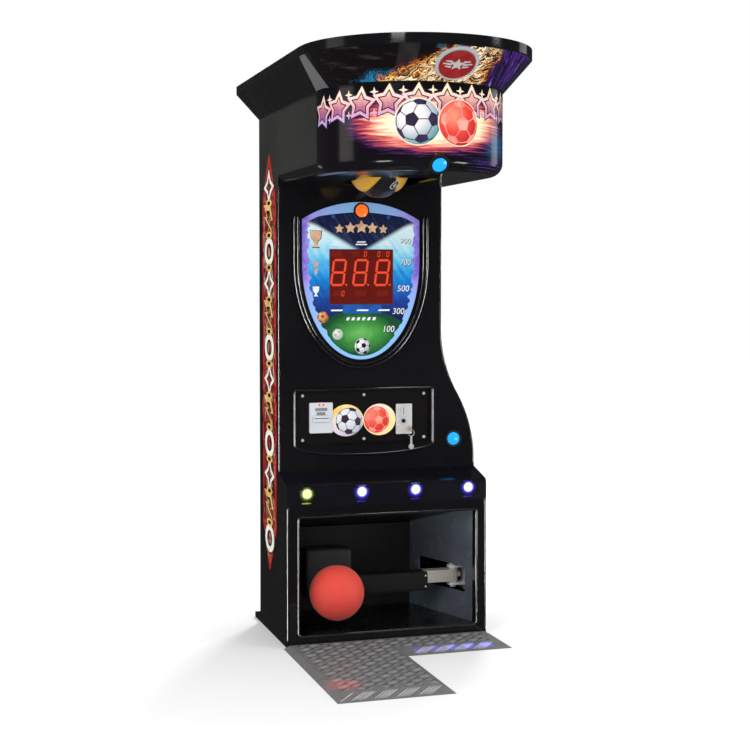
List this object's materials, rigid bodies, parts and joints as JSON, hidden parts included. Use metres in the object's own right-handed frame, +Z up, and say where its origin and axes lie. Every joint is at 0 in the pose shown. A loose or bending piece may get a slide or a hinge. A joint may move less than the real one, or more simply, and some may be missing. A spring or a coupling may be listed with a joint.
{
  "type": "boxing punch machine",
  "caption": "Kick and punch strength-testing arcade machine with a ball on a swinging arm, a stowed punch bag in a hood and a tread plate.",
  "frame": {"origin": "on the floor, at the middle of the base board (mid-width of the lower cabinet, mid-depth of the board)", "axes": "+Z up, -Y towards the player, +X to the right of a player facing the machine"},
  "size_m": [0.925, 1.5273, 2.25],
  "materials": {
    "black_board": "gloss black paint",
    "plain_board": "matt",
    "black_moulding": "high gloss",
    "chamber_grey": "satin",
    "zinc_steel": "satin",
    "dark_steel": "satin",
    "tread_aluminium": "five-bar tread",
    "black_rubber": "matt",
    "red_ball": "matt",
    "bag_leather": "smooth",
    "nylon": "matt",
    "blue_cap": "gloss, lit",
    "orange_cap": "gloss, lit",
    "black_plastic": "satin",
    "grey_plastic": "satin",
    "lamp_lens": "frosted, lit",
    "chrome": "polished",
    "brass": "polished",
    "printed_sheet": "gloss print",
    "red_window": "tinted",
    "circuit": "satin",
    "dark_plate": "gloss"
  },
  "bodies": {
    "cabinet": {"base_board": "black_board", "wheel_brackets": "zinc_steel", "plate_board": "plain_board", "tread_plate": "tread_aluminium", "left_side_panel": "black_board", "right_side_panel": "black_board", "back_panel": "black_board", "power_inlet": "black_plastic", "top_board": "black_board", "mid_shelf": "plain_board", "door_hinge_fixed": "zinc_steel", "front_frame": "black_moulding", "chamber_floor": "black_board", "chamber_back": "chamber_grey", "chamber_ceiling": "chamber_grey", "chamber_right": "chamber_grey", "stop_block": "black_rubber", "hinge_bracket": "zinc_steel", "hinge_pin": "chrome", "return_spring": "zinc_steel", "ledge_moulding": "black_moulding", "lamp_bezels": "chrome", "lamp_lenses": "lamp_lens", "button_bezels": "black_plastic", "fascia_panel": "black_moulding", "shield_panel": "printed_sheet", "display_window": "red_window", "display_board": "circuit", "coin_surround": "black_moulding", "coin_panel": "dark_plate", "coin_panel_screws": "chrome", "bill_validator": "grey_plastic", "coin_acceptor": "zinc_steel", "coin_lock": "chrome", "cash_box": "zinc_steel", "hood_shell": "black_moulding", "visor_shell": "black_moulding", "visor_badge": "chrome", "bag_frame": "dark_steel", "bag_shaft": "zinc_steel", "power_supply": "zinc_steel", "control_board": "circuit"},
    "kick_arm": {"kick_arm": "zinc_steel", "kick_sleeve": "black_rubber", "kick_ball": "red_ball", "hinge_bushes": "nylon"},
    "punch_bag": {"bag_arm": "zinc_steel", "punch_bag": "bag_leather"},
    "latch_bolt": {"latch_bolt": "zinc_steel"},
    "back_door": {"back_door": "black_board", "door_hinge_moving": "zinc_steel"},
    "door_lock": {"door_lock_cam": "chrome"},
    "left_wheel": {"transport_wheel_left": "black_rubber"},
    "right_wheel": {"transport_wheel_right": "black_rubber"},
    "start_button": {"start_button_cap": "orange_cap"},
    "low_button": {"low_button_cap": "blue_cap"},
    "hood_button": {"hood_button_cap": "blue_cap"},
    "coin_return": {"coin_return_button": "black_plastic"},
    "lock_key": {"lock_key": "brass"},
    "hanging_keys": {"hanging_keys": "chrome"}
  },
  "joints": [
    {"name": "kick_swing", "type": "hinge", "parent": "cabinet", "child": "kick_arm", "pos_m": [0.336, -0.11, 0.215], "axis": [0, 0, -1], "range_deg": [0, 11], "stiffness_Nm_per_rad": 60},
    {"name": "bag_swing", "type": "hinge", "parent": "cabinet", "child": "punch_bag", "pos_m": [-0.0725, -0.64, 1.876], "axis": [-1, 0, 0], "range_deg": [0, 90]},
    {"name": "latch_slide", "type": "slide", "parent": "cabinet", "child": "latch_bolt", "axis": [-1, 0, 0], "range_m": [0, 0.016]},
    {"name": "door_swing", "type": "hinge", "parent": "cabinet", "child": "back_door", "pos_m": [-0.33, 0.196, 1.325], "axis": [0, 0, 1], "range_deg": [0, 110]},
    {"name": "door_lock_turn", "type": "hinge", "parent": "back_door", "child": "door_lock", "pos_m": [0.15, 0.19, 1.325], "axis": [0, 1, 0], "range_deg": [0, 90]},
    {"name": "left_wheel_spin", "type": "hinge", "parent": "cabinet", "child": "left_wheel", "pos_m": [-0.3, 0.262, 0.05], "axis": [1, 0, 0], "continuous": true},
    {"name": "right_wheel_spin", "type": "hinge", "parent": "cabinet", "child": "right_wheel", "pos_m": [0.3, 0.262, 0.05], "axis": [1, 0, 0], "continuous": true},
    {"name": "start_press", "type": "slide", "parent": "cabinet", "child": "start_button", "axis": [0, 1, 0], "range_m": [0, 0.004], "stiffness_N_per_m": 400},
    {"name": "low_press", "type": "slide", "parent": "cabinet", "child": "low_button", "axis": [0, 1, 0], "range_m": [0, 0.004], "stiffness_N_per_m": 400},
    {"name": "hood_press", "type": "slide", "parent": "cabinet", "child": "hood_button", "axis": [0, 0.848, 0.5299], "range_m": [0, 0.004], "stiffness_N_per_m": 400},
    {"name": "coin_return_press", "type": "slide", "parent": "cabinet", "child": "coin_return", "axis": [0, 1, 0], "range_m": [0, 0.004], "stiffness_N_per_m": 400},
    {"name": "lock_key_turn", "type": "hinge", "parent": "cabinet", "child": "lock_key", "pos_m": [0.132, -0.17, 0.834], "axis": [0, -1, 0], "range_deg": [0, 90]},
    {"name": "keys_hang", "type": "hinge", "parent": "lock_key", "child": "hanging_keys", "pos_m": [0.132, -0.176, 0.83], "axis": [1, 0, 0], "range_deg": [-30, 8]}
  ]
}
